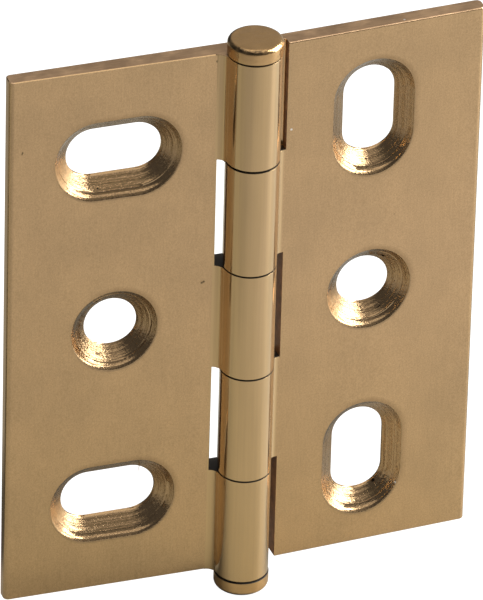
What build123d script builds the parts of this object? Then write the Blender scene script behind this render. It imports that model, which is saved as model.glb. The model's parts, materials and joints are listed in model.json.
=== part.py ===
from build123d import *
import os
from math import cos, radians, sin, tan

# Cabinet butt hinge in solid drawn brass, drawn open as it is pictured, a little past flat.
# All sizes are in millimetres and all angles in degrees.
# The pin axis is the Z axis, and the origin lies halfway up it. The right leaf runs along +X,
# the countersunk faces look towards -Y, and the backs that lie on the wood look towards +Y.

# Leaves: both are cut from one drawn section, a plate with a round barrel along one edge
leaf_height = 50.0
leaf_reach = 20.4  # from the pin axis to the outer long edge
root_thickness = 1.65  # of the plate where it meets the barrel
edge_thickness = 1.45  # of the plate at its outer long edge
barrel_diameter = 4.5  # the plate's back is flush with the back of the barrel
outer_edge_round = 0.45
root_fillet = 0.9
rest_turn = 2.6  # how far past flat the leaves stand open

# Knuckles: the left leaf keeps the first, third and fifth, the right leaf the ones between
knuckle_count = 5
knuckle_gap = 0.12
left_notch_reach = 2.85  # from the pin axis to the bottom of the left leaf's notches
right_notch_reach = 3.15

# Pin: held in the left leaf's knuckles and turning in the right leaf's
pin_diameter = 2.4
held_clearance = 0.01  # radial
running_clearance = 0.04  # radial

# Button tips, one at each end of the barrel, each held by a spigot in the end knuckle
tip_diameter = 4.6
tip_height = 1.35
tip_round = 0.45
tip_gap = 0.1  # the fine line between a tip and its knuckle
spigot_length = 3.0
spigot_gap = 0.2  # between a spigot's end and the pin's

# Screw holes: on each leaf a round one at mid height, between two slots
hole_diameter = 4.5
hole_pitch = 16.6
left_hole_reach = 11.2  # from the pin axis
right_hole_reach = 10.85
slot_travel = 3.6  # between the centres of a slot's two round ends
sink_angle = 90.0
slot_sink_diameter = 7.15
round_sink_diameter = 7.4

barrel_radius = barrel_diameter / 2
pin_radius = pin_diameter / 2
hole_radius = hole_diameter / 2
knuckle_pitch = leaf_height / knuckle_count
front_slope = (root_thickness - edge_thickness) / (leaf_reach - barrel_radius)
overcut = 1.0  # how far a cutter runs past the metal that it cuts


def front_face(reach):
    """Where the plate's front face lies at this reach, measured backwards from the pin axis."""
    return barrel_radius - root_thickness + front_slope * (reach - barrel_radius)


def make_leaf(end, first_notch, notch_reach, bore_radius, hole_reach, slot_tilt):
    """A leaf with its knuckles, bore and screw holes.

    end is the plane of the end that its knuckles are counted from. There x runs out along the
    plate, y towards its back and z along the leaf. Every second knuckle from first_notch on is
    cut away, and slot_tilt turns the slots up from lying along the plate.
    """
    with BuildPart() as leaf:
        with BuildSketch(end) as section:
            with BuildLine():
                Polyline(
                    (0, barrel_radius),
                    (leaf_reach, barrel_radius),
                    (leaf_reach, front_face(leaf_reach)),
                    (0, front_face(0)),
                    close=True,
                )
            make_face()
            fillet(section.vertices().group_by(Axis.X)[-1], outer_edge_round)
            Circle(barrel_radius)
            between = section.vertices().filter_by_position(Axis.X, pin_radius, leaf_reach / 2)
            fillet(between.sort_by(Axis.Y)[0], root_fillet)
        extrude(amount=leaf_height)

        with BuildSketch(end):
            Circle(bore_radius)
        extrude(amount=leaf_height, mode=Mode.SUBTRACT)

        # Notches for the other leaf's knuckles, square at the bottom and open at the barrel
        notch_start = -barrel_radius - overcut
        for knuckle in range(first_notch, knuckle_count, 2):
            low = knuckle * knuckle_pitch - knuckle_gap / 2
            with BuildSketch(end.offset(low)):
                with Locations(((notch_start + notch_reach) / 2, 0)):
                    Rectangle(notch_reach - notch_start, -2 * notch_start)
            extrude(amount=knuckle_pitch + knuckle_gap, mode=Mode.SUBTRACT)

        # Countersunk screw holes. The cone starts at the cylindrical hole's mouth and opens forward.
        middle = end.origin + end.z_dir * (leaf_height / 2)
        for place, travel, sink_diameter in (
            (-hole_pitch, slot_travel, slot_sink_diameter),
            (0, 0, round_sink_diameter),
            (hole_pitch, slot_travel, slot_sink_diameter),
        ):
            sink_depth = (sink_diameter / 2 - hole_radius) / tan(radians(sink_angle / 2))
            centre = middle + end.x_dir * hole_reach + end.z_dir * place
            mouth = Plane(
                origin=centre + end.y_dir * (front_face(hole_reach) + sink_depth),
                x_dir=end.x_dir,
                z_dir=-end.y_dir,
            )
            with BuildSketch(mouth) as outline:
                if travel:
                    SlotCenterToCenter(travel, hole_diameter, rotation=slot_tilt)
                else:
                    Circle(hole_radius)
            extrude(outline.sketch, amount=root_thickness, both=True, mode=Mode.SUBTRACT)
            extrude(
                outline.sketch,
                amount=sink_depth + overcut,
                taper=-sink_angle / 2,
                mode=Mode.SUBTRACT,
            )
    return leaf


def make_tip(seat):
    """A button tip with its spigot. seat is the end face of the knuckle, facing out."""
    with BuildPart() as tip:
        with BuildSketch(seat.offset(tip_gap)):
            Circle(tip_diameter / 2)
        extrude(amount=tip_height)
        crown = tip.faces().sort_by(Axis(seat.origin, seat.z_dir))[-1]
        fillet(crown.edges(), tip_round)
        with BuildSketch(seat.offset(tip_gap)):
            Circle(pin_radius)
        extrude(amount=-spigot_length - tip_gap)
    return tip


# Right leaf: two knuckles, upright slots
right_end = Plane(origin=(0, 0, -leaf_height / 2), x_dir=(1, 0, 0), z_dir=(0, 0, 1))
right_leaf = make_leaf(
    right_end, 0, right_notch_reach, pin_radius + running_clearance, right_hole_reach, 90
)

# Left leaf: three knuckles, slots along the plate, turned back past flat
left_out = (-cos(radians(rest_turn)), sin(radians(rest_turn)), 0)
left_end = Plane(origin=(0, 0, leaf_height / 2), x_dir=left_out, z_dir=(0, 0, -1))
left_leaf = make_leaf(
    left_end, 1, left_notch_reach, pin_radius + held_clearance, left_hole_reach, 0
)

# Hinge pin, between the two spigots
pin_length = leaf_height - 2 * (spigot_length + spigot_gap)
with BuildPart() as hinge_pin:
    with BuildSketch(Plane.XY.offset(-pin_length / 2)):
        Circle(pin_radius)
    extrude(amount=pin_length)

top_tip = make_tip(Plane.XY.offset(leaf_height / 2))
bottom_tip = make_tip(Plane(origin=(0, 0, -leaf_height / 2), z_dir=(0, 0, -1)))

pieces = {
    "left_leaf": left_leaf,
    "right_leaf": right_leaf,
    "hinge_pin": hinge_pin,
    "top_tip": top_tip,
    "bottom_tip": bottom_tip,
}
os.makedirs("parts", exist_ok=True)
for name, piece in pieces.items():
    piece.part.label = name
    export_step(piece.part, f"parts/{name}.step")
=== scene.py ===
import json
from math import cos, pi, radians, sin, tan
from random import Random

import bmesh
import bpy
from mathutils import Matrix, Vector


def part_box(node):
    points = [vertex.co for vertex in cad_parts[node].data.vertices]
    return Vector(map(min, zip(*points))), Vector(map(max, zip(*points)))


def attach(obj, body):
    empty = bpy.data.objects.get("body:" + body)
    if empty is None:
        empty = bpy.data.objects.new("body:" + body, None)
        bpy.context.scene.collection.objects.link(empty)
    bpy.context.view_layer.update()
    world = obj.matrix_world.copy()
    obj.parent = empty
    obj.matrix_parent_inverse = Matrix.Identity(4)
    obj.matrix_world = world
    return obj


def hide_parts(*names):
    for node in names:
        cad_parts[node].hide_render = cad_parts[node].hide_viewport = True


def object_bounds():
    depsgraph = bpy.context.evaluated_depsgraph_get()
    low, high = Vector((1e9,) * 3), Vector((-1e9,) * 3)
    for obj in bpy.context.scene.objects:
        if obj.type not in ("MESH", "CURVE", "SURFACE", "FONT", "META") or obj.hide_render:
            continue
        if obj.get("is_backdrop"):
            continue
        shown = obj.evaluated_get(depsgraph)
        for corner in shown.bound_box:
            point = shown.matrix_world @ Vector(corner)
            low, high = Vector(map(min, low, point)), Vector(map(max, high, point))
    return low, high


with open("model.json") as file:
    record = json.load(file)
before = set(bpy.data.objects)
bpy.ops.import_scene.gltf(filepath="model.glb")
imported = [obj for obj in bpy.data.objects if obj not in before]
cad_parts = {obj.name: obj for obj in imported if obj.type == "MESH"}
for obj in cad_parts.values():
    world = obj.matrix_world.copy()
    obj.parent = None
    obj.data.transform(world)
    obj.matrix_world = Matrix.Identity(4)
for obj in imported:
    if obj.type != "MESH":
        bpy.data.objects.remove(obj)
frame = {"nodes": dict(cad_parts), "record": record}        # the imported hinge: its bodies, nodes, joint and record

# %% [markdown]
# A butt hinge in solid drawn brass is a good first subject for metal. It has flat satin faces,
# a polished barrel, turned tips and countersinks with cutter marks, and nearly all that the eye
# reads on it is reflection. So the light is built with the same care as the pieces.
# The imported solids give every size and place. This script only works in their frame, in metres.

mm = 0.001
scene = bpy.context.scene
solid_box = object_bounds()
sides = [round(side / mm, 1) for side in solid_box[1] - solid_box[0]]
print("solids:", sorted(frame["nodes"]), "in", sides, "mm")

# %% [markdown]
# The camera is a very long lens, as for a catalogue picture, which keeps the leaves' long edges
# almost parallel. It is placed by the angles that a photographer would use: how far round to the
# left, how high, how far away, and a slight roll. The view transform is Standard, because the
# brass is matched by its colour values and a film curve would shift them.

# %% Camera
camera_round = radians(21.586)
camera_height = radians(32.427)
camera_roll = radians(1.57)
camera_distance = 737.7 * mm
camera_aim = Vector((-0.3, 0.8, 1.02)) * mm
focal_length = 540.0
nearest_seen = 10 * mm


def direction_to(turn, height):
    """The direction from the hinge at this angle right of the front (-Y) and above the horizon."""
    return Vector((sin(turn) * cos(height), -cos(turn) * cos(height), sin(height)))


camera = bpy.data.objects.new("camera", bpy.data.cameras.new("camera"))
scene.collection.objects.link(camera)
camera.data.lens = focal_length
camera.data.clip_start = nearest_seen
to_camera = direction_to(-camera_round, camera_height)
aimed = (-to_camera).to_track_quat("-Z", "Y").to_matrix().to_4x4()
camera.matrix_world = (
    Matrix.Translation(camera_aim + to_camera * camera_distance)
    @ aimed
    @ Matrix.Rotation(camera_roll, 4, "Z")
)
scene.camera = camera
scene.view_settings.view_transform = "Standard"
print("camera at", [round(value / mm) for value in camera.location], "mm")

# %% [markdown]
# Every material here is a tree of nodes, and so is the floor's and the room's colour. A few short
# functions hide the wiring, so that a finish further down reads like its description: a value is
# taken from a pattern, its range is shifted, and it blends two colours.

# %% Helpers for nodes
def add_node(tree, kind, **inputs):
    """A node of this kind, with the named inputs set."""
    new = tree.nodes.new("ShaderNode" + kind)
    for name, value in inputs.items():
        new.inputs[name.replace("_", " ")].default_value = value
    return new


def object_place(tree):
    return add_node(tree, "TexCoord").outputs["Object"]


def split(tree, vector):
    """A node that gives the X, Y and Z of a vector."""
    new = add_node(tree, "SeparateXYZ")
    tree.links.new(vector, new.inputs["Vector"])
    return new


def stored(tree, name):
    """A value that is stored on the mesh under this name."""
    new = add_node(tree, "Attribute")
    new.attribute_name = name
    return new.outputs["Fac"]


def shift_range(tree, socket, low, high, least=0.0, most=1.0):
    """Maps least..most of a value to low..high, and stays at these beyond."""
    new = add_node(tree, "MapRange")
    new.inputs["From Min"].default_value = least
    new.inputs["From Max"].default_value = most
    new.inputs["To Min"].default_value = low
    new.inputs["To Max"].default_value = high
    tree.links.new(socket, new.inputs["Value"])
    return new.outputs["Result"]


def multiplied(tree, first, *others):
    for other in others:
        new = add_node(tree, "Math")
        new.operation = "MULTIPLY"
        tree.links.new(first, new.inputs[0])
        tree.links.new(other, new.inputs[1])
        first = new.outputs["Value"]
    return first

# %% Helpers for colours
def colour(red, green, blue):
    return (red, green, blue, 1.0)


def blend_colours(tree, factor, first, second, kind="MIX"):
    """Mixes two colours, each a socket or a plain value. The factor counts as 1 when it is more."""
    new = tree.nodes.new("ShaderNodeMix")
    new.data_type = "RGBA"
    new.blend_type = kind
    sockets = {"factor": new.inputs[0], "first": new.inputs[6], "second": new.inputs[7]}
    for key, value in (("factor", factor), ("first", first), ("second", second)):
        if isinstance(value, bpy.types.NodeSocket):
            tree.links.new(value, sockets[key])
        else:
            sockets[key].default_value = value
    return new.outputs[2]


def filmed(tree, tint, *films):
    """The tint with each film laid over it, as a sheet of tinted glass would be."""
    for film in films:
        tint = blend_colours(tree, 1.0, tint, film, "MULTIPLY")
    return tint


def named_material(name):
    """An empty node material and its shader."""
    material = bpy.data.materials.new(name)
    material.use_nodes = True
    return material, material.node_tree.nodes["Principled BSDF"]

# %% [markdown]
# Brass has no colour of its own in the dark: it shows a tinted picture of the room. Seen from
# above, its upright faces mirror the floor in front of them, so a warm pale floor gives them
# their even honey tone. The floor is one sheet of card just under the lower tip. A real studio
# would bend it up behind the hinge, but here the room behind it is as pale, so it stays flat.

# %% Floor
floor_half_side = 4.0
floor_gap = 0.1 * mm  # below the lower tip
floor_height = solid_box[0].z - floor_gap

ground = bmesh.new()
bmesh.ops.create_grid(ground, x_segments=1, y_segments=1, size=floor_half_side)
bmesh.ops.translate(ground, verts=ground.verts, vec=(0, 0, floor_height))
floor = bpy.data.objects.new("floor", bpy.data.meshes.new("floor"))
ground.to_mesh(floor.data)
ground.free()
scene.collection.objects.link(floor)
floor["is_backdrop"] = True
card, card_shader = named_material("pale_card")
card_tree = card.node_tree
floor.data.materials.append(card)
print("floor at", round(floor_height / mm, 2), "mm")

# %% [markdown]
# The card isn't one even tone, and the leaves show it, because light and shade are painted into
# the colour that the brass mirrors. The card is semi-gloss, and towards the soft box it is painted
# brighter. Near the hinge it is painted warmer, as a painted reflection of the brass. Painted shade
# darkens it on the left and behind the hinge, with a painted shadow there, which darkens the left
# edges and greys the upper rims. A painted pool of light in front lights the middle of the right
# leaf, and a strip of painted shade beside it tames the bright line on the barrel's right. Each of
# these is a range in X times a range in Y, because such soft patches are quicker to place by numbers
# than by flags and gobos around a real hinge.

# %% What the brass mirrors in the floor
card_roughness = 0.4
card_gloss = 0.16
# The near colour is painted warmer, the pale values are painted light, and the dull values are painted shade and a
# painted shadow.
mirrored_far = colour(0.466, 0.466, 0.462)
mirrored_near_painted_warm = colour(0.446, 0.444, 0.385)
painted_light_right = 1.9
painted_light_near = 1.3
painted_light_pool = colour(1.09, 1.09, 1.16)
painted_shade_left = 0.86
painted_shade_behind = 0.6
painted_shadow_level = 0.3
painted_shade_strip = colour(0.8, 0.81, 0.82)
card_place = split(card_tree, object_place(card_tree))


def right_of(low, high, start, end):
    """Goes from low to high between two distances to the right of the pin, in millimetres."""
    return shift_range(card_tree, card_place.outputs["X"], low, high, start * mm, end * mm)


def behind(low, high, start, end):
    """Goes from low to high between two distances behind the pin, and minus is in front."""
    return shift_range(card_tree, card_place.outputs["Y"], low, high, start * mm, end * mm)


# Where the painted shadow, the painted pool of light and the painted strip of shade lie.
in_painted_shadow = multiplied(card_tree, behind(0, 1, 7, 11), behind(1, 0, 20, 30), right_of(1, 0, 35, 45))
in_painted_pool = multiplied(card_tree, right_of(0, 1, 0, 30), behind(0, 1, -60, -42))
in_painted_strip = multiplied(card_tree, right_of(0, 1, 20, 45), behind(0, 1, -32, -16))
level = multiplied(  # more than 1 counts as 1, so the pale parts only make up for the dull ones
    card_tree,
    right_of(painted_shade_left, 1, -45, -12),
    right_of(1, painted_light_right, 90, 150),
    behind(1, painted_shade_behind, 3, 12),
    behind(1, painted_light_near, -22, -7),
    shift_range(card_tree, in_painted_shadow, 1, painted_shadow_level),
)
# Near the hinge the card is painted warmer, as a painted reflection of the brass.
mirrored = blend_colours(card_tree, behind(0, 1, -55, -5), mirrored_far, mirrored_near_painted_warm)
mirrored = blend_colours(card_tree, level, colour(0, 0, 0), mirrored)
for share, patch in ((in_painted_pool, painted_light_pool), (in_painted_strip, painted_shade_strip)):
    mirrored = filmed(card_tree, mirrored, blend_colours(card_tree, share, colour(1, 1, 1), patch))
print("the card's patches take", len(card_tree.nodes), "nodes")

# %% [markdown]
# Seen directly, the photo's ground is plain white. The Light Path node tells a ray that comes
# straight from the camera from one that the brass has mirrored, so the card can be white to the
# one and toned to the other. The white is mostly light of its own, so no shadow greys it.

# %% What the camera sees of the floor
floor_own_light = 1.0
floor_pale = 0.2


def seen_directly(tree):
    return add_node(tree, "LightPath").outputs["Is Camera Ray"]


straight = seen_directly(card_tree)
pale = colour(floor_pale, floor_pale, floor_pale)
card_colour = blend_colours(card_tree, straight, mirrored, pale)
own_light = shift_range(card_tree, straight, 0.0, floor_own_light)
card_tree.links.new(card_colour, card_shader.inputs["Base Color"])
card_tree.links.new(own_light, card_shader.inputs["Emission Strength"])
card_shader.inputs["Emission Color"].default_value = colour(1.0, 1.0, 1.0)
card_shader.inputs["Roughness"].default_value = card_roughness
card_shader.inputs["Specular IOR Level"].default_value = card_gloss
print("card: own light", floor_own_light, "and pale", floor_pale)

# %% [markdown]
# The cones of the countersinks look every way, so they mirror the rest of the room. A dark room
# behind the camera blacks out their lower right, as it does in the photo, and a soft glow from the
# right fills the walls between. The light that falls from overhead gives the upward faces a tone.
# All three are one world colour that depends on the direction, which needs no lamps or panels.

# %% Room
room_dark = colour(0.115, 0.115, 0.12)
room_glow = colour(0.43, 0.41, 0.39)
room_overhead = colour(1.3, 1.26, 1.22)
room_seen = colour(0.95, 0.95, 0.95)
glow_towards = (0.8, 0.1, 0.6)  # from the right and above
glow_range = (0.1, 0.6)
overhead_range = (0.8, 0.95)  # the sine of the height above the horizon

room = bpy.data.worlds.new("room")
scene.world = room
room.use_nodes = True
room_tree = room.node_tree
towards = add_node(room_tree, "TexCoord").outputs["Generated"]
along_glow = add_node(room_tree, "VectorMath")
along_glow.operation = "DOT_PRODUCT"
along_glow.inputs[1].default_value = glow_towards
room_tree.links.new(towards, along_glow.inputs[0])
glow = shift_range(room_tree, along_glow.outputs["Value"], 0.0, 1.0, *glow_range)
overhead = shift_range(room_tree, split(room_tree, towards).outputs["Z"], 0.0, 1.0, *overhead_range)
room_colour = blend_colours(room_tree, glow, room_dark, room_glow)
room_colour = blend_colours(room_tree, overhead, room_colour, room_overhead)
room_colour = blend_colours(room_tree, seen_directly(room_tree), room_colour, room_seen)
room_tree.links.new(room_colour, room_tree.nodes["Background"].inputs["Color"])
print("room: dark", room_dark[:3], "and glow", room_glow[:3])

# %% [markdown]
# One large soft box on the right is the only lamp. The cones mirror it too, and it whites out
# their lower left. It is an area light of about half a metre, because its size decides how wide
# those white patches are, and its strength is given as brightness, so that a change of size
# doesn't change how bright it looks in the brass.

# %% Soft box
box_turn = radians(80)
box_height = radians(26)
box_distance = 0.55
box_width = 0.46
box_length = 0.56
box_brightness = 10.0

lamp = bpy.data.lights.new("soft_box", "AREA")
lamp.shape = "RECTANGLE"
lamp.size = box_width
lamp.size_y = box_length
lamp.energy = box_brightness * pi * box_width * box_length
soft_box = bpy.data.objects.new("soft_box", lamp)
scene.collection.objects.link(soft_box)
to_box = direction_to(box_turn, box_height)
soft_box.location = to_box * box_distance
soft_box.rotation_euler = (-to_box).to_track_quat("-Z", "Y").to_euler()
soft_box.visible_camera = False
print("soft box", round(lamp.energy, 2), "W at", [round(value, 2) for value in soft_box.location])

# %% [markdown]
# One brass makes the whole hinge, but each surface was left by another tool. The finishes share
# a tone and differ in roughness, in how their marks run, and in how clean they are. Their marks
# are noise that is stretched along the tool's path. All of it reads Object coordinates, so it
# stays put on the piece, and its scale is given for each axis in cycles a metre.
# The tone is matched against the floor it mirrors. It is browner than fresh yellow brass.

# %% The brass and its patterns
brass_tone = (0.585, 0.391, 0.207)


def toned(share, warmth=1.0):
    """The brass tone, darker by a share and warmer by a factor on its blue."""
    return colour(brass_tone[0] * share, brass_tone[1] * share, brass_tone[2] * share * warmth)


def metal(name, roughness):
    """A fully metallic material of the brass tone and its shader."""
    material, shader = named_material(name)
    shader.inputs["Base Color"].default_value = toned(1.0)
    shader.inputs["Metallic"].default_value = 1.0
    shader.inputs["Roughness"].default_value = roughness
    return material, shader


def streaks(tree, scale, detail=2.0):
    """Noise stretched by a scale for each axis."""
    place = add_node(tree, "Mapping")
    place.inputs["Scale"].default_value = scale
    tree.links.new(object_place(tree), place.inputs["Vector"])
    noise = add_node(tree, "TexNoise", Scale=1.0, Detail=detail, Roughness=0.6)
    tree.links.new(place.outputs["Vector"], noise.inputs["Vector"])
    return noise.outputs["Fac"]

# %% How a pattern shows
def over_noise(tree, noise, low, high, spread):
    """Goes from low to high over the middle of a noise, which seldom strays far from 0.5."""
    return shift_range(tree, noise, low, high, 0.5 - spread, 0.5 + spread)


def two_tone(tree, noise, dark, light, spread=0.2):
    return blend_colours(tree, over_noise(tree, noise, 0.0, 1.0, spread), dark, light)


def vary_gloss(tree, shader, noise, smooth, rough, spread=0.2):
    """Lets a noise move the roughness between two values."""
    tree.links.new(over_noise(tree, noise, smooth, rough, spread), shader.inputs["Roughness"])


def bumped(tree, shader, height, distance, before=None):
    """Raises the surface by a height pattern, on top of an earlier bump."""
    bump = add_node(tree, "Bump", Strength=1.0, Distance=distance)
    tree.links.new(height, bump.inputs["Height"])
    if before is not None:
        tree.links.new(before.outputs["Normal"], bump.inputs["Normal"])
    tree.links.new(bump.outputs["Normal"], shader.inputs["Normal"])
    return bump

# %% [markdown]
# There are also some single marks: nicks near the barrel, a pit and a chip in the
# countersinks, and painted glints as small pale flecks. Each is a small ball in space that colours
# what lies in it, because a noise can't be told where to put them. The plates have many finer pits
# as well, and those come from a Voronoi pattern, whose cells are each a chance for one pit.

# %% Small marks
# This dark colour is for nicks and pits, and also for the painted shade on the tips' shoulders.
dark_nick_and_shade = toned(0.3)
black_mark = toned(0.04)
# Painted glints, as pale flecks.
painted_glint = colour(0.95, 0.9, 0.82)
plate_marks = [  # place and radius in millimetres, and colour
    ((-2.97, 0.73, 24.36), 0.14, dark_nick_and_shade),
    ((-2.85, 0.69, 24.5), 0.13, dark_nick_and_shade),
    ((-19.22, 1.66, 18.34), 0.10, dark_nick_and_shade),
    ((-19.26, 1.66, 18.2), 0.08, dark_nick_and_shade),
    ((-3.84, 0.79, 3.42), 0.13, dark_nick_and_shade),
    ((-3.68, 0.79, 3.5), 0.14, dark_nick_and_shade),
    ((3.58, 0.62, 16.74), 0.12, painted_glint),
]
cone_marks = [
    ((-12.65, 1.95, 13.5), 0.13, black_mark),
    ((12.42, 1.95, -20.12), 0.2, black_mark),
    ((13.95, 0.82, -19.95), 0.13, painted_glint),
]
end_marks = [((13.35, 1.1, 25.0), 0.12, painted_glint)]


def marked(tree, tint, marks):
    """The tint with the marks laid over it."""
    for centre, radius, mark in marks:
        away = add_node(tree, "VectorMath")
        away.operation = "DISTANCE"
        away.inputs[1].default_value = [value * mm for value in centre]
        tree.links.new(object_place(tree), away.inputs[0])
        soft_edge = (0.5 * radius * mm, radius * mm)
        inside = shift_range(tree, away.outputs["Value"], 1.0, 0.0, *soft_edge)
        tint = blend_colours(tree, inside, tint, mark)
    return tint


def pits(tree, spacing, size, share):
    """Tiny sparse pits in a share of the cells: 1 inside a pit and 0 elsewhere."""
    cells = add_node(tree, "TexVoronoi", Scale=1 / spacing, Randomness=1.0)
    tree.links.new(object_place(tree), cells.inputs["Vector"])
    reach = size / spacing
    inside = shift_range(tree, cells.outputs["Distance"], 1.0, 0.0, 0.5 * reach, reach)
    chance = add_node(tree, "SeparateColor")
    tree.links.new(cells.outputs["Color"], chance.inputs["Color"])
    kept = shift_range(tree, chance.outputs["Red"], 1.0, 0.0, share, share + 0.01)
    return multiplied(tree, inside, kept)

# %% [markdown]
# The plate faces were drawn through a die and then linished along the leaf, which leaves a very
# fine upright grain, a faint cloudiness and the odd pit. The grain is two scales of stretched
# noise. It tints the metal a little, changes its gloss, and tilts it slightly. Around the
# countersinks the plate is darkened with painted shade, and the mesh stores its strength as a value.

# %% Satin plate
# Painted shade around the countersinks' rims.
rim_shade_colour = colour(0.72, 0.7, 0.68)
pit_spacing = 3.2 * mm
pit_size = 0.09 * mm
pit_share = 0.3


def make_plate():
    material, shader = metal("satin_plate", 0.2)
    tree = material.node_tree
    grain = streaks(tree, (7000, 7000, 500))
    speckle = streaks(tree, (8000, 8000, 6500), detail=3.0)
    clouds = streaks(tree, (260, 260, 200), detail=4.0)
    light_speck = colour(1.095, 1.095, 1.095)
    light_cloud = colour(1.045, 1.042, 1.035)
    tint = filmed(
        tree,
        two_tone(tree, grain, toned(0.965), toned(1.03)),
        two_tone(tree, speckle, colour(0.905, 0.895, 0.88), light_speck, spread=0.15),
        two_tone(tree, clouds, colour(0.95, 0.953, 0.956), light_cloud, spread=0.15),
        blend_colours(tree, stored(tree, "painted_rim_shade"), colour(1, 1, 1), rim_shade_colour),
    )
    tint = blend_colours(tree, pits(tree, pit_spacing, pit_size, pit_share), tint, dark_nick_and_shade)
    tree.links.new(marked(tree, tint, plate_marks), shader.inputs["Base Color"])
    vary_gloss(tree, shader, speckle, 0.16, 0.26)
    first = bumped(tree, shader, grain, 0.002 * mm)
    bumped(tree, shader, speckle, 0.003 * mm, before=first)
    return material

# %% [markdown]
# The barrel was buffed hard, so it mirrors the leaf beside it as a darker band with a thin line
# at its edge. Brass that is mirrored in brass comes out too orange by itself. Such hinges often
# have a thin clear lacquer, which reflects without a tint of its own, and the shader's coat, its
# clear upper layer, stands for it. Paler metal would cure the band but bleach the rest.

# %% Buffed barrel
lacquer = 1.0
lacquer_roughness = 0.12


def make_barrel():
    material, shader = metal("buffed_barrel", 0.1)
    tree = material.node_tree
    lines = streaks(tree, (5200, 5200, 90))
    clouds = streaks(tree, (300, 300, 120), detail=3.0)
    tint = filmed(
        tree,
        two_tone(tree, lines, toned(0.95, 0.87), toned(1.035, 0.87)),
        two_tone(tree, clouds, colour(0.97, 0.965, 0.955), colour(1.02, 1.02, 1.02)),
    )
    tree.links.new(tint, shader.inputs["Base Color"])
    vary_gloss(tree, shader, lines, 0.08, 0.15)
    shader.inputs["Coat Weight"].default_value = lacquer
    shader.inputs["Coat Roughness"].default_value = lacquer_roughness
    bumped(tree, shader, lines, 0.001 * mm)
    return material

# %% [markdown]
# The ends of the leaves were sawn and only touched on the wheel, so saw lines cross them and worn
# patches lie between. The walls of the notches are dark brown and hardly metal. The webs between
# leaf and knuckle lie in the joints' gaps and are painted nearly black, as painted shade. A dull
# finish does both.

# %% Sawn ends, notches and webs
def make_sawn():
    material, shader = metal("sawn_end", 0.34)
    tree = material.node_tree
    teeth = streaks(tree, (900, 6000, 2000), detail=3.0)
    patches = streaks(tree, (500, 700, 500), detail=3.0)
    light_patch = colour(1.05, 1.05, 1.05)
    tint = filmed(
        tree,
        two_tone(tree, teeth, toned(0.95, 1.1), toned(1.2, 1.1)),
        two_tone(tree, patches, colour(0.8, 0.78, 0.78), light_patch, spread=0.15),
    )
    tree.links.new(marked(tree, tint, end_marks), shader.inputs["Base Color"])
    vary_gloss(tree, shader, patches, 0.28, 0.42)
    bumped(tree, shader, teeth, 0.02 * mm)
    return material


def make_dull_dark(name, roughness, shine, metallic):
    """Metal with most of its shine taken away."""
    material, shader = metal(name, roughness)
    shader.inputs["Metallic"].default_value = metallic
    shader.inputs["Specular IOR Level"].default_value = shine
    return material, shader


def make_notch():
    material, shader = make_dull_dark("dull_notch", 0.5, shine=0.2, metallic=0.2)
    tree = material.node_tree
    notch_noise = streaks(tree, (1500, 1500, 1500), detail=4.0)
    notch_dark_tint = two_tone(tree, notch_noise, colour(0.12, 0.055, 0.025), colour(0.24, 0.118, 0.052))
    tree.links.new(notch_dark_tint, shader.inputs["Base Color"])
    bumped(tree, shader, notch_noise, 0.02 * mm)
    return material


def make_web():
    material, shader = make_dull_dark("web_in_painted_shade", 0.6, shine=0.3, metallic=0.0)
    # Painted shade: the webs lie in the joints' gaps and are coloured nearly black.
    shader.inputs["Base Color"].default_value = colour(0.024, 0.018, 0.012)
    return material

# %% [markdown]
# A countersink cutter chatters as it turns, and leaves steps and fine scratches that follow the
# rim. The larger steps are modelled below, in the mesh. The scratches are a bump that depends
# only on how deep a point lies, so one pattern serves round holes and slots alike. The depth is
# stored on the mesh, in millimetres below the plate's face. Painted shade outlines the rims darkly,
# down to a small depth, and the cutter left some walls torn and dull, which the mesh stores too.

# %% Countersinks
# Painted shade that outlines each rim darkly, down to a small depth.
rim_painted_shade = colour(0.6, 0.57, 0.54)
rim_shade_depth = (0.03, 0.08)  # the painted shade ends between these depths, in millimetres
torn_roughness = 0.32


def make_countersink():
    material, shader = metal("cutter_marks", 0.12)
    tree = material.node_tree
    depth = stored(tree, "depth")
    place = add_node(tree, "CombineXYZ")
    tree.links.new(depth, place.inputs["X"])
    scratches = add_node(tree, "TexNoise", Scale=5.0, Detail=4.0, Roughness=0.7)
    tree.links.new(place.outputs["Vector"], scratches.inputs["Vector"])
    breaks = streaks(tree, (5200, 5200, 5200), detail=3.0)
    patches = streaks(tree, (2200, 2200, 2200), detail=2.0)
    beyond_rim_shade = shift_range(tree, depth, 0.0, 1.0, *rim_shade_depth)
    tint = filmed(
        tree,
        two_tone(tree, breaks, toned(0.66), toned(0.9)),
        blend_colours(tree, beyond_rim_shade, rim_painted_shade, colour(1, 1, 1)),
    )
    tree.links.new(marked(tree, tint, cone_marks), shader.inputs["Base Color"])
    roughness = add_node(tree, "Math")
    roughness.operation = "MULTIPLY_ADD"
    roughness.inputs[1].default_value = torn_roughness
    tree.links.new(stored(tree, "dull"), roughness.inputs[0])
    tree.links.new(over_noise(tree, patches, 0.05, 0.15, spread=0.1), roughness.inputs[2])
    tree.links.new(roughness.outputs["Value"], shader.inputs["Roughness"])
    first = bumped(tree, shader, scratches.outputs["Fac"], 0.045 * mm)
    bumped(tree, shader, breaks, 0.026 * mm, before=first)
    return material

# %% All the finishes of a leaf
finishes = {
    "plate": make_plate(),
    "barrel": make_barrel(),
    "sawn": make_sawn(),
    "notch": make_notch(),
    "web": make_web(),
    "countersink": make_countersink(),
}
finish_order = list(finishes)
print("finishes:", [material.name for material in finishes.values()])

# %% [markdown]
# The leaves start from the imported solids, because their shape is already right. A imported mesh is
# loose triangles, so a copy is welded, and the triangles of each flat face are dissolved into
# one. Fewer and larger faces also make the bevels and cuts that follow cleaner.

# %% Welded copies
weld_distance = 0.0005 * mm
flat_enough = radians(0.4)
packed_shading = ("custom_normal", "sharp_edge", "sharp_face")


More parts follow.
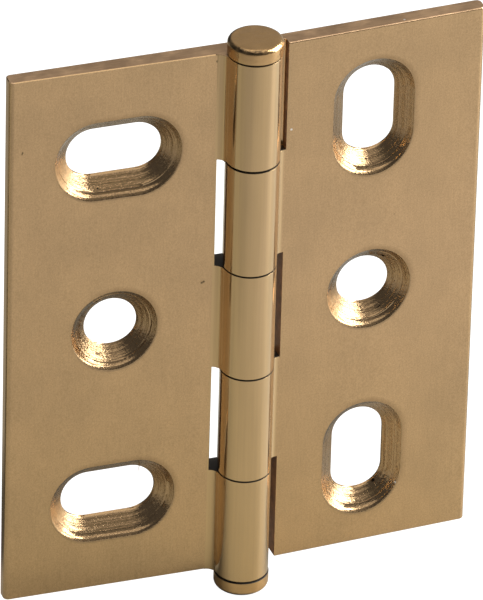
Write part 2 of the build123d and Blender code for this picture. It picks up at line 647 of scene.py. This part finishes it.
def welded(node):
    """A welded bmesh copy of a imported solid, with one face for each flat stretch."""
    source = frame["nodes"][node].data.copy()
    for name in packed_shading:
        if name in source.attributes:
            source.attributes.remove(source.attributes[name])
    copy = bmesh.new()
    copy.from_mesh(source)
    bpy.data.meshes.remove(source)
    bmesh.ops.remove_doubles(copy, verts=copy.verts, dist=weld_distance)
    bmesh.ops.dissolve_limit(copy, angle_limit=flat_enough, verts=copy.verts, edges=copy.edges)
    return copy

# %% [markdown]
# Every face of a leaf is given its finish by where it lies and which way it looks: along the
# leaf, out of it, or out of a knuckle's end. Picking faces by hand would be as quick in the
# editor, but a rule still holds after the solids are packed again. A reach is a distance from the
# pin axis along the leaf, and how far a face looks back is a cosine, 1 at the leaf's back.

# %% Sorting the faces
hole_zone = (5.5 * mm, 17.5 * mm)  # the reach of the holes
notch_zone = (2.7 * mm, 3.3 * mm)  # the reach of the notches' walls
barrel_reach = 3.0 * mm
facing = 0.9  # a face with this cosine or more looks that way
facing_squarely = 0.99
end_zone = 1.6 * mm  # a level face this near to the tips' tops is a sawn end
cone_look = (-0.85, -0.5)
wall_look = 0.3


def sort_faces(piece, outward, backward):
    """Gives each face of a leaf the index of its finish."""
    top = solid_box[1].z - end_zone
    for face in piece.faces:
        centre = face.calc_center_median()
        reach = centre.dot(outward)
        looks_back = face.normal.dot(backward)
        by_hole = hole_zone[0] < reach < hole_zone[1] and abs(centre.z) < top
        looks_out = abs(face.normal.dot(outward)) > facing_squarely
        if by_hole and cone_look[0] < looks_back < cone_look[1]:
            finish = "countersink"
        elif by_hole and abs(looks_back) < wall_look:
            finish = "plate"
        elif abs(face.normal.z) > facing:
            finish = "sawn" if abs(centre.z) > top else "web"
        elif looks_out and notch_zone[0] < reach < notch_zone[1]:
            finish = "notch"
        elif reach < barrel_reach:
            finish = "barrel"
        else:
            finish = "plate"
        face.material_index = finish_order.index(finish)

# %% [markdown]
# The countersinks are worked in the mesh, one cone at a time. A plane parallel to the plate's
# face crosses a cone in a ring, whatever its outline, so bisect_plane cuts rings of vertices at
# chosen depths, in slots and round holes alike. The mesh then tells at each vertex which way its
# hole lies. In what follows, inside is the direction from the plate's face into the plate.

# %% Rings in a cone
cone_zone = 6.5 * mm  # no face of a cone is further from the hole's middle
up = Vector((0, 0, 1))


def cone_faces(piece, centre):
    """The countersink faces around one hole."""
    index = finish_order.index("countersink")
    return [
        face
        for face in piece.faces
        if face.material_index == index and (face.calc_center_median() - centre).length < cone_zone
    ]


def verts_of(faces):
    return {vert for face in faces for vert in face.verts}


def towards_hole(vert, inside):
    """The direction in the plate's face that leads from a vertex of a cone to its hole."""
    index = finish_order.index("countersink")
    total = Vector()
    for face in vert.link_faces:
        if face.material_index == index:
            total += face.normal * face.calc_area()
    return (total - inside * total.dot(inside)).normalized()


def cut_ring(piece, centre, inside, depth):
    """Cuts a ring of vertices and edges into one cone."""
    faces = cone_faces(piece, centre)
    around = {edge for face in faces for edge in face.edges}
    cut = bmesh.ops.bisect_plane(
        piece, geom=faces + list(around), plane_co=inside * depth, plane_no=inside, dist=1e-8
    )["geom_cut"]
    verts = [item for item in cut if isinstance(item, bmesh.types.BMVert)]
    edges = [item for item in cut if isinstance(item, bmesh.types.BMEdge)]
    return verts, edges


def rim_of(cone, inside):
    """The vertices where a cone meets the plate's face."""
    plate = finish_order.index("plate")
    return {
        vert
        for vert in verts_of(cone)
        if any(
            face.material_index == plate and face.normal.dot(inside) < -facing
            for face in vert.link_faces
        )
    }

# %% [markdown]
# The buffing wheel rounded the rims, and most of all below each hole, where it ran against them:
# that shows as a dark crescent. So the rim and the topmost rings are moved outwards onto an arc.
# The arc ends a little steeper than the cone, as a lip. A bevel would be quicker, but it is as
# wide all round, and this rim isn't.

# %% Rounded rims
rim_steps = 7
side_round = 0.06 * mm  # how far the arc reaches out over the plate's face
lip_angle = radians(66)  # the cone itself is at 45 degrees
arc_cut = 0.02 * mm  # depth between the rings that become the arc
arc_size = 1 / tan(radians(45) / 2)  # the radius of an arc at the rim for each unit of its reach


def arc_move(vert, inside, step, low_round, low_shift):
    """The move that takes a vertex of one of the upper rings to its place on the rim's arc.

    low_round is the arc's reach below the hole, and low_shift how much lower it lies there.
    """
    inward = towards_hole(vert, inside)
    below = max(0.0, inward.dot(up)) ** 2
    rim_round = side_round + (low_round - side_round) * below
    radius = rim_round * arc_size
    turn = lip_angle * step / rim_steps
    depth = arc_cut * step
    move = inward * (radius * sin(turn) - rim_round - low_shift * below - depth)
    return move + inside * (radius * (1 - cos(turn)) - depth)

# %% [markdown]
# Further down, every second ring is pushed in or out by some thousandths of a millimetre. That
# tilts the bands between them by a few degrees, which is plenty on a mirror. The push waxes and
# wanes round the cone, as chatter does, and a seeded draw keeps it irregular but the same on each
# run. A bump pattern alone would leave the bands without their crisp edges.

# %% Chatter rings
ring_pitch = 0.16 * mm  # in depth
ring_stray = 0.2  # how far a ring strays from even spacing, as a share of it
least_push = 0.55
push_wave = 0.5
plain_mouth = 0.14 * mm  # the last of the cone, before the hole, stays plain


def cut_chatter(piece, centre, inside, surface, full, low_round, push, draw):
    """Cuts the chatter rings of a cone and gives each one's depth, vertices and push."""
    first = low_round * arc_size * (1 - cos(lip_angle)) + 0.5 * ring_pitch
    last = full - plain_mouth
    count = int((last - first) / ring_pitch) + 1
    rings = []
    for number in range(count):
        place = (number + draw.uniform(-ring_stray, ring_stray)) / max(count - 1, 1)
        depth = first + (last - first) * place
        verts, edges = cut_ring(piece, centre, inside, surface + depth)
        side = 1 if number % 2 else -1
        rings.append((depth, verts, push * side * draw.uniform(least_push, 1.0)))
        for edge in edges:
            edge.smooth = False
    return rings


def chatter_moves(rings, inside, full, low_shift, draw):
    """The moves of the chatter rings' vertices, square to the cone and down with the rim."""
    moves = []
    for depth, verts, push in rings:
        phase = draw.uniform(0, 2 * pi)
        for vert in verts:
            inward = towards_hole(vert, inside)
            wave = 1 + push_wave * sin(2 * inward.angle(up) + phase)
            square = (inward - inside).normalized() * push * wave
            lower = low_shift * max(0.0, inward.dot(up)) ** 2 * (1 - depth / full)
            moves.append((vert, square - inward * lower))
    return moves

# %% [markdown]
# Two values go onto the mesh for the finishes. The painted rim shade darkens the plate around the
# rim, most above and to the right of each hole. The dullness marks the walls that the cutter tore,
# on the left, and also some that it only rubbed. Both depend on where a wall faces, so they are
# worked out at each vertex.

# %% Painted rim shade and dullness
rim_shade_width = 0.45 * mm
least_rim_shade = 0.12
shaded_side = Vector((-0.6, 0, -0.8))  # towards a hole from above it and from its right
torn_side = Vector((0.93, 0, 0.36))  # towards a hole from its left
torn_from = 0.87  # the cosine at which the torn wall begins
torn_gain = 11
rubbed = 0.4


def store_dullness(piece, cone, inside, torn_share):
    dull = piece.verts.layers.float["dull"]
    for vert in verts_of(cone):
        inward = towards_hole(vert, inside)
        torn = min(1.0, max(0.0, (inward.dot(torn_side) - torn_from) * torn_gain)) * torn_share
        vert[dull] = max(torn, rubbed * max(0.0, inward.dot(shaded_side)))

# %% [markdown]
# One countersink is then worked in this order: all its rings are cut, the moves are worked out
# while the cone is still plain, the values are stored, and only then does anything move. A vertex
# that had already moved would turn the faces that tell its neighbours where the hole is. Between
# the rim and a first ring just under it, the cone takes the plate's finish, so that the bright
# satin runs over the edge as on the real rim.

# %% One countersink
skin = 0.003 * mm  # the depth of that first ring
under_skin = 1.5 * skin


def work_countersink(piece, centre, inside, low_round, low_shift, push, torn_share, drift, draw):
    """Rounds the rim of one countersink, cuts its chatter rings and stores its painted rim shade and dullness.

    low_round and low_shift are the arc's reach and fall below the hole, push is the chatter's,
    torn_share is how dull the left wall is, and drift is how far the cutter ran off centre.
    """
    painted_rim_shade = piece.verts.layers.float["painted_rim_shade"]
    cone = cone_faces(piece, centre)
    rim = rim_of(cone, inside)
    surface = sum(vert.co.dot(inside) for vert in rim) / len(rim)
    full = max(vert.co.dot(inside) for vert in verts_of(cone)) - surface
    skin_ring = cut_ring(piece, centre, inside, surface + skin)[0]
    arc_rings = [
        (step, cut_ring(piece, centre, inside, surface + arc_cut * step)[0])
        for step in range(1, rim_steps + 1)
    ]
    rings = cut_chatter(piece, centre, inside, surface, full, low_round, push, draw)
    piece.normal_update()
    moves = []
    for vert in rim:
        outward = towards_hole(vert, inside) * -rim_shade_width
        moves.append((vert, arc_move(vert, inside, 0, low_round, low_shift) + outward))
    for vert in skin_ring:
        # Painted shade on the plate by the rim, most above and right of the hole.
        vert[painted_rim_shade] = max(least_rim_shade, towards_hole(vert, inside).dot(shaded_side))
        moves.append((vert, arc_move(vert, inside, 0, low_round, low_shift)))
    for step, verts in arc_rings:
        moves += [(vert, arc_move(vert, inside, step, low_round, low_shift)) for vert in verts]
    moves += chatter_moves(rings, inside, full, low_shift, draw)
    cone = cone_faces(piece, centre)
    store_dullness(piece, cone, inside, torn_share)
    for face in cone:
        if max(vert.co.dot(inside) for vert in face.verts) < surface + under_skin:
            face.material_index = finish_order.index("plate")
    drifts = [
        (vert, drift * (1 - max(0.0, vert.co.dot(inside) - surface) / full)) for vert, move in moves
    ]
    for vert, move in moves + drifts:
        vert.co += move
    piece.normal_update()
    return len(rings)

# %% [markdown]
# Under the lower side of each hole the drill left more metal than the cutter took, and the photo
# shows it as a raised lip. The hole's lower wall is lifted, and the cone's inner edge follows it
# part of the way along the cone, so that nothing turns inside out.

# %% Lifted lips
lip_lift = 0.18 * mm
mouth_zone = 5.0 * mm  # no vertex of a hole's wall is further from its middle
same_depth = 0.01 * mm
cone_follows = 0.7  # as a share of the lift
wall_spent = 0.6  # and no more than this share of the wall


def raise_low_lip(piece, centre, inside):
    deepest = max(vert.co.dot(inside) for vert in verts_of(cone_faces(piece, centre)))
    mouth = [
        vert
        for vert in piece.verts
        if (vert.co - centre).length < mouth_zone and vert.co.dot(inside) > deepest - same_depth
    ]
    wall_length = max(vert.co.dot(inside) for vert in mouth) - deepest
    along_cone = (up + inside) * min(cone_follows * lip_lift, wall_spent * wall_length)
    moves = []
    for vert in mouth:
        walls = (face.normal for face in vert.link_faces if abs(face.normal.dot(inside)) < wall_look)
        below = max(0.0, sum(walls, Vector()).normalized().dot(up)) ** 2
        on_cone = vert.co.dot(inside) < deepest + same_depth
        moves.append((vert, (along_cone if on_cone else up * lip_lift) * below))
    for vert, move in moves:
        vert.co += move

# %% [markdown]
# Two places are worn or uneven on one leaf only. The back half of the right leaf's top notch
# leans in towards the barrel, with a small bright step between the halves. And the left leaf's top
# joint gapes a little more than the others, as if the knuckle above it had been filed short. The
# cut mesh is moved for both, because the solids keep the hinge as it was drawn.

# %% Uneven notch and joint
lean_above = 14 * mm
lean_from = 1.3 * mm  # behind the pin axis
step_height = 0.06 * mm
step_width = 0.24 * mm
joint_wear = 0.05 * mm
joint_gap = 0.1 * mm  # the knuckle's end lies within this above the middle of the joint
same_place = 0.05 * mm
joint_height = 0.6  # of the leaf's half height
leaf_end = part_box("left_leaf")[1].z
barrel_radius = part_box("top_tip")[1].x


def top_notch_walls(piece):
    index = finish_order.index("notch")
    return [
        face
        for face in piece.faces
        if face.material_index == index and face.calc_center_median().z > lean_above
    ]


def lean_wall(piece):
    """Leans the back half of the top notch's wall in towards the barrel."""
    for depth in (lean_from, lean_from + step_height):
        walls = top_notch_walls(piece)
        around = {edge for face in walls for edge in face.edges}
        bmesh.ops.bisect_plane(
            piece, geom=walls + list(around), plane_co=(0, depth, 0), plane_no=(0, 1, 0), dist=1e-8
        )
    walls = top_notch_walls(piece)
    for vert in verts_of(walls):
        if vert.co.y > lean_from + step_height / 2:
            vert.co.x -= step_width
    for face in walls:
        if lean_from < face.calc_center_median().y < lean_from + step_height:
            face.material_index = finish_order.index("plate")
    piece.normal_update()


def wear_joint(piece):
    """Shortens the top knuckle from below."""
    level = leaf_end * joint_height
    for vert in piece.verts:
        on_barrel = vert.co.xy.length < barrel_radius + same_place
        if on_barrel and 0 < vert.co.z - level < joint_gap:
            vert.co.z += joint_wear

# %% [markdown]
# No real edge is sharp. The ends of the left leaf were stoned to a narrow flat facet, which glints
# as the bright line along its top in the photo, and the ends of the right leaf were rounded. A
# bevel of one segment makes a facet, and moving its far edge nearer to the end sets how steeply
# it looks up. All the other edges get a finer break.

# %% Edges
end_break = 0.13 * mm
end_steps = 5
facet_break = 0.085 * mm
facet_look = radians(60)  # how steeply a facet looks up, or down at the foot
fine_break = 0.055 * mm
fine_steps = 2
sharp_turn = radians(50)


def break_edges(piece, edges, width, segments):
    return bmesh.ops.bevel(
        piece, geom=edges, offset=width, offset_type="OFFSET", segments=segments, profile=0.5,
        affect="EDGES", clamp_overlap=False, material=-1,
    )["faces"]


def sharp_edges(piece):
    return [edge for edge in piece.edges if edge.calc_face_angle(0) > sharp_turn]


def slant_facets(piece, facets):
    """Moves the facets' far edges nearer to the leaf's ends, and keeps the facets crisp."""
    for vert in verts_of(facets):
        height = abs(vert.co.z)
        if abs(height - leaf_end + facet_break) < same_depth:
            vert.co.z *= (leaf_end - facet_break / tan(facet_look)) / height
    around = {edge for face in facets for edge in face.edges}
    for edge in around:
        edge.smooth = False
    piece.normal_update()
    return around


def ease_edges(piece, outward, faceted):
    """Breaks the outlines of the plate's ends, then every other sharp edge."""
    ends = [
        edge
        for edge in sharp_edges(piece)
        if min(abs(vert.co.z) for vert in edge.verts) > leaf_end - same_depth
        and max(vert.co.dot(outward) for vert in edge.verts) > barrel_reach
    ]
    if faceted:
        kept = slant_facets(piece, break_edges(piece, ends, facet_break, 1))
    else:
        kept = set()
        break_edges(piece, ends, end_break, end_steps)
    sharp = [edge for edge in sharp_edges(piece) if edge not in kept]
    break_edges(piece, sharp, fine_break, fine_steps)
    return len(ends), len(sharp)

# %% [markdown]
# A dressed piece is handed over in the same way each time. It rides on the body that its solid
# belongs to and replaces that solid in the picture. Smooth shading with weighted normals keeps
# the flat faces flat right up to the broken edges, which would otherwise look pillowed, and the
# edges that turn sharply stay creased.

# %% Handing over a piece
crease_turn = radians(42)
flat_weight = 90


def finish_piece(piece, name, materials, body, node):
    """Turns a bmesh into a smooth-shaded object that stands for a solid."""
    for face in piece.faces:
        face.smooth = True
    for edge in piece.edges:
        if edge.calc_face_angle(0) > crease_turn:
            edge.smooth = False
    mesh = bpy.data.meshes.new(name)
    piece.to_mesh(mesh)
    piece.free()
    for material in materials:
        mesh.materials.append(material)
    made = bpy.data.objects.new(name, mesh)
    scene.collection.objects.link(made)
    weighted = made.modifiers.new("even faces", "WEIGHTED_NORMAL")
    weighted.keep_sharp = True
    weighted.weight = flat_weight
    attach(made, body)
    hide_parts(node)
    print(name, "has", len(mesh.polygons), "faces")

# %% [markdown]
# Now the leaves themselves. Each has a hole in the middle and a slot above and below it, and each
# countersink was cut a little differently, so the table gives its wear one by one. The record's
# mounts say where the holes are and which way the backs face.

# %% The wear of each countersink
low_round = 0.24 * mm
wear = {  # of the three countersinks from the top: fall of the arc, chatter, torn share and drift
    "left_leaf": (
        (0.2 * mm, 0.006 * mm, 1.0, Vector()),
        (0.1 * mm, 0.007 * mm, 0.3, Vector((-0.1, 0, 0.1)) * mm),
        (0.2 * mm, 0.006 * mm, 0.9, Vector()),
    ),
    "right_leaf": (
        (0.2 * mm, 0.006 * mm, 0.5, Vector()),
        (0.1 * mm, 0.004 * mm, 1.0, Vector((0.1, 0, 0)) * mm),
        (0.2 * mm, 0.006 * mm, 0.5, Vector()),
    ),
}

# %% Dressing a leaf
mounts = {mount["name"]: mount for mount in frame["record"]["mounts"]}
pitch = mounts["right_leaf_slots"]["dims"]["spacing_y_mm"] / 2 * mm


def make_leaf(node, outward, backward, seed):
    """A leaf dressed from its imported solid. Its body has the solid's own name."""
    piece = welded(node)
    for name in ("painted_rim_shade", "dull"):
        piece.verts.layers.float.new(name)
    sort_faces(piece, outward, backward)
    if node == "right_leaf":
        lean_wall(piece)
    else:
        wear_joint(piece)
    fronts = [face for face in piece.faces if face.normal.dot(backward) < -facing]
    front = max(fronts, key=lambda face: face.calc_area())
    inside = -front.normal.copy()
    hole = Vector(mounts[node + "_middle_hole"]["pos_m"])
    middle = outward * hole.dot(outward) + inside * front.verts[0].co.dot(inside)
    draw = Random(seed)
    rings = 0
    for height, place_wear in zip((pitch, 0, -pitch), wear[node]):
        centre = middle + up * height
        rings += work_countersink(piece, centre, inside, low_round, *place_wear, draw)
        raise_low_lip(piece, centre, inside)
    eased = ease_edges(piece, outward, faceted=node == "left_leaf")
    depth = piece.verts.layers.float.new("depth")
    for vert in piece.verts:
        vert[depth] = (vert.co - middle).dot(inside) / mm
    print(node, "rings:", rings, "edges: end, other:", eased)
    finish_piece(piece, "dressed_" + node, finishes.values(), node, node)

# %% The two leaves
right_back = -Vector(mounts["right_leaf_slots"]["axis"])
left_back = Vector(mounts["left_leaf_back"]["axis"])
make_leaf("right_leaf", right_back.cross(up), right_back, 5)
make_leaf("left_leaf", up.cross(left_back), left_back, 11)

# %% [markdown]
# The tips were turned on a lathe and buffed. The lathe leaves faint rings, which are noise that
# depends only on the distance from the axis. The corner of the shoulder is darkened in blotches
# with painted shade, except at the front right, where the glint is. A ring of radius, a range in X
# and a noise, multiplied, say where it lies.

# %% Turned brass
ring_scale = 9000.0  # in cycles a metre
copper_cast = colour(1.02, 0.965, 0.95)
# Where the painted shade lies on the shoulder: a ring of radius, and none of it right of X.
shoulder_shade_from = barrel_radius - 0.34 * mm
shoulder_shade_to = barrel_radius - 0.05 * mm
shoulder_shade_edges = (0.1 * mm, 0.05 * mm)
clear_at_glint = (0.4 * mm, 1.0 * mm)


def make_turned():
    material, shader = metal("turned_tip", 0.2)
    tree = material.node_tree
    flat = add_node(tree, "Mapping")
    flat.inputs["Scale"].default_value = (1.0, 1.0, 0.0)
    tree.links.new(object_place(tree), flat.inputs["Vector"])
    length = add_node(tree, "VectorMath")
    length.operation = "LENGTH"
    tree.links.new(flat.outputs["Vector"], length.inputs[0])
    radius = length.outputs["Value"]
    place = add_node(tree, "CombineXYZ")
    tree.links.new(radius, place.inputs["X"])
    rings = add_node(tree, "TexNoise", Scale=ring_scale, Detail=2.0)
    tree.links.new(place.outputs["Vector"], rings.inputs["Vector"])
    clouds = streaks(tree, (700, 700, 700), detail=3.0)
    blotches = streaks(tree, (1600, 1600, 1600), detail=3.0)
    # Painted shade in the shoulder's corner, in blotches, kept off the glint.
    painted_shoulder_shade = multiplied(
        tree,
        shift_range(tree, radius, 0.0, 1.0, shoulder_shade_from, shoulder_shade_from + shoulder_shade_edges[0]),
        shift_range(tree, radius, 1.0, 0.0, shoulder_shade_to, shoulder_shade_to + shoulder_shade_edges[1]),
        shift_range(tree, split(tree, object_place(tree)).outputs["X"], 1.0, 0.0, *clear_at_glint),
        shift_range(tree, blotches, 0.3, 1.0, 0.4, 0.55),
    )
    tint = filmed(tree, two_tone(tree, clouds, toned(0.92, 0.88), toned(1.07, 0.88)), copper_cast)
    tint = blend_colours(tree, painted_shoulder_shade, tint, dark_nick_and_shade)
    tree.links.new(tint, shader.inputs["Base Color"])
    vary_gloss(tree, shader, clouds, 0.1, 0.22, spread=0.15)
    first = bumped(tree, shader, rings.outputs["Fac"], 0.0006 * mm)
    bumped(tree, shader, streaks(tree, (1300, 1300, 1300), detail=3.0), 0.07 * mm, before=first)
    return material

# %% [markdown]
# What is turned on a lathe is spun in Blender: half of the outline is drawn from the axis outwards
# and swept once round. The spigot inside the barrel is part of the same turning. Where the tip
# meets the knuckle, those faces take the webs' nearly black colour as painted shade, and draw a
# thin dark line.

# %% Half the outline of a tip
tip_round = 0.45 * mm
corner_steps = 8
seat_break = 0.04 * mm


def tip_outline(spigot_end, seat, face, away):
    """Half the outline from the spigot's end to the middle of the face, as radius and height."""
    pin_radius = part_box("hinge_pin")[1].x
    outline = [
        (0, spigot_end),
        (pin_radius, spigot_end),
        (pin_radius, seat),
        (barrel_radius - seat_break, seat),
        (barrel_radius, seat + away * seat_break),
    ]
    for step in range(corner_steps + 1):
        turn = radians(90) * step / corner_steps
        radius = barrel_radius - tip_round * (1 - cos(turn))
        outline.append((radius, face - away * tip_round * (1 - sin(turn))))
    return outline + [(0, face)]

# %% Button tips
tip_gap = 0.13 * mm
tip_steps = 96


def make_tip(node, materials):
    """A tip spun from its half outline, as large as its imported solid."""
    low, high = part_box(node)
    away = 1 if high.z > 0 else -1
    face, spigot_end = (high.z, low.z) if away > 0 else (low.z, high.z)
    leaf_low, leaf_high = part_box("left_leaf")
    seat = (leaf_high.z if away > 0 else leaf_low.z) + away * tip_gap
    piece = bmesh.new()
    outline = tip_outline(spigot_end, seat, face, away)
    corners = [piece.verts.new((radius, 0, height)) for radius, height in outline]
    edges = [piece.edges.new(pair) for pair in zip(corners, corners[1:])]
    bmesh.ops.spin(
        piece, geom=corners + edges, cent=(0, 0, 0), axis=(0, 0, 1), angle=2 * pi, steps=tip_steps,
        use_merge=True,
    )
    bmesh.ops.remove_doubles(piece, verts=piece.verts, dist=weld_distance)
    bmesh.ops.recalc_face_normals(piece, faces=piece.faces)
    for side in piece.faces:
        below = side.calc_center_median().z * away < (seat + away * seat_break) * away
        side.material_index = 1 if below else 0
    finish_piece(piece, "turned_" + node, materials, "left_leaf", node)


turned = make_turned()
for node in ("top_tip", "bottom_tip"):
    make_tip(node, [turned, finishes["web"]])

# %% [markdown]
# The pin is drawn steel wire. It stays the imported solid, because only a thread of it can ever be
# seen between two knuckles, and it only gets its own metal, with marks that run along the wire.

# %% Hinge pin
steel, steel_shader = named_material("pin_steel_wire")
steel_tree = steel.node_tree
steel_shader.inputs["Metallic"].default_value = 1.0
steel_shader.inputs["Roughness"].default_value = 0.35
drawn = streaks(steel_tree, (4000, 4000, 150))
steel_tint = blend_colours(steel_tree, drawn, colour(0.32, 0.31, 0.30), colour(0.46, 0.45, 0.44))
steel_tree.links.new(steel_tint, steel_shader.inputs["Base Color"])
bumped(steel_tree, steel_shader, drawn, 0.002 * mm)
pin = frame["nodes"]["hinge_pin"]
pin.material_slots[0].link = "OBJECT"
pin.material_slots[0].material = steel
print("pin:", pin.name, "in", steel.name)

# %% [markdown]
# Last, the two boxes are written out, to show that the dressed hinge is no larger than its solids.

# %% Sizes
dressed_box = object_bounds()
growth = [round((dressed_box[1][i] - solid_box[1][i]) / mm, 4) for i in range(3)]
print("growth on the high side:", growth, "mm")
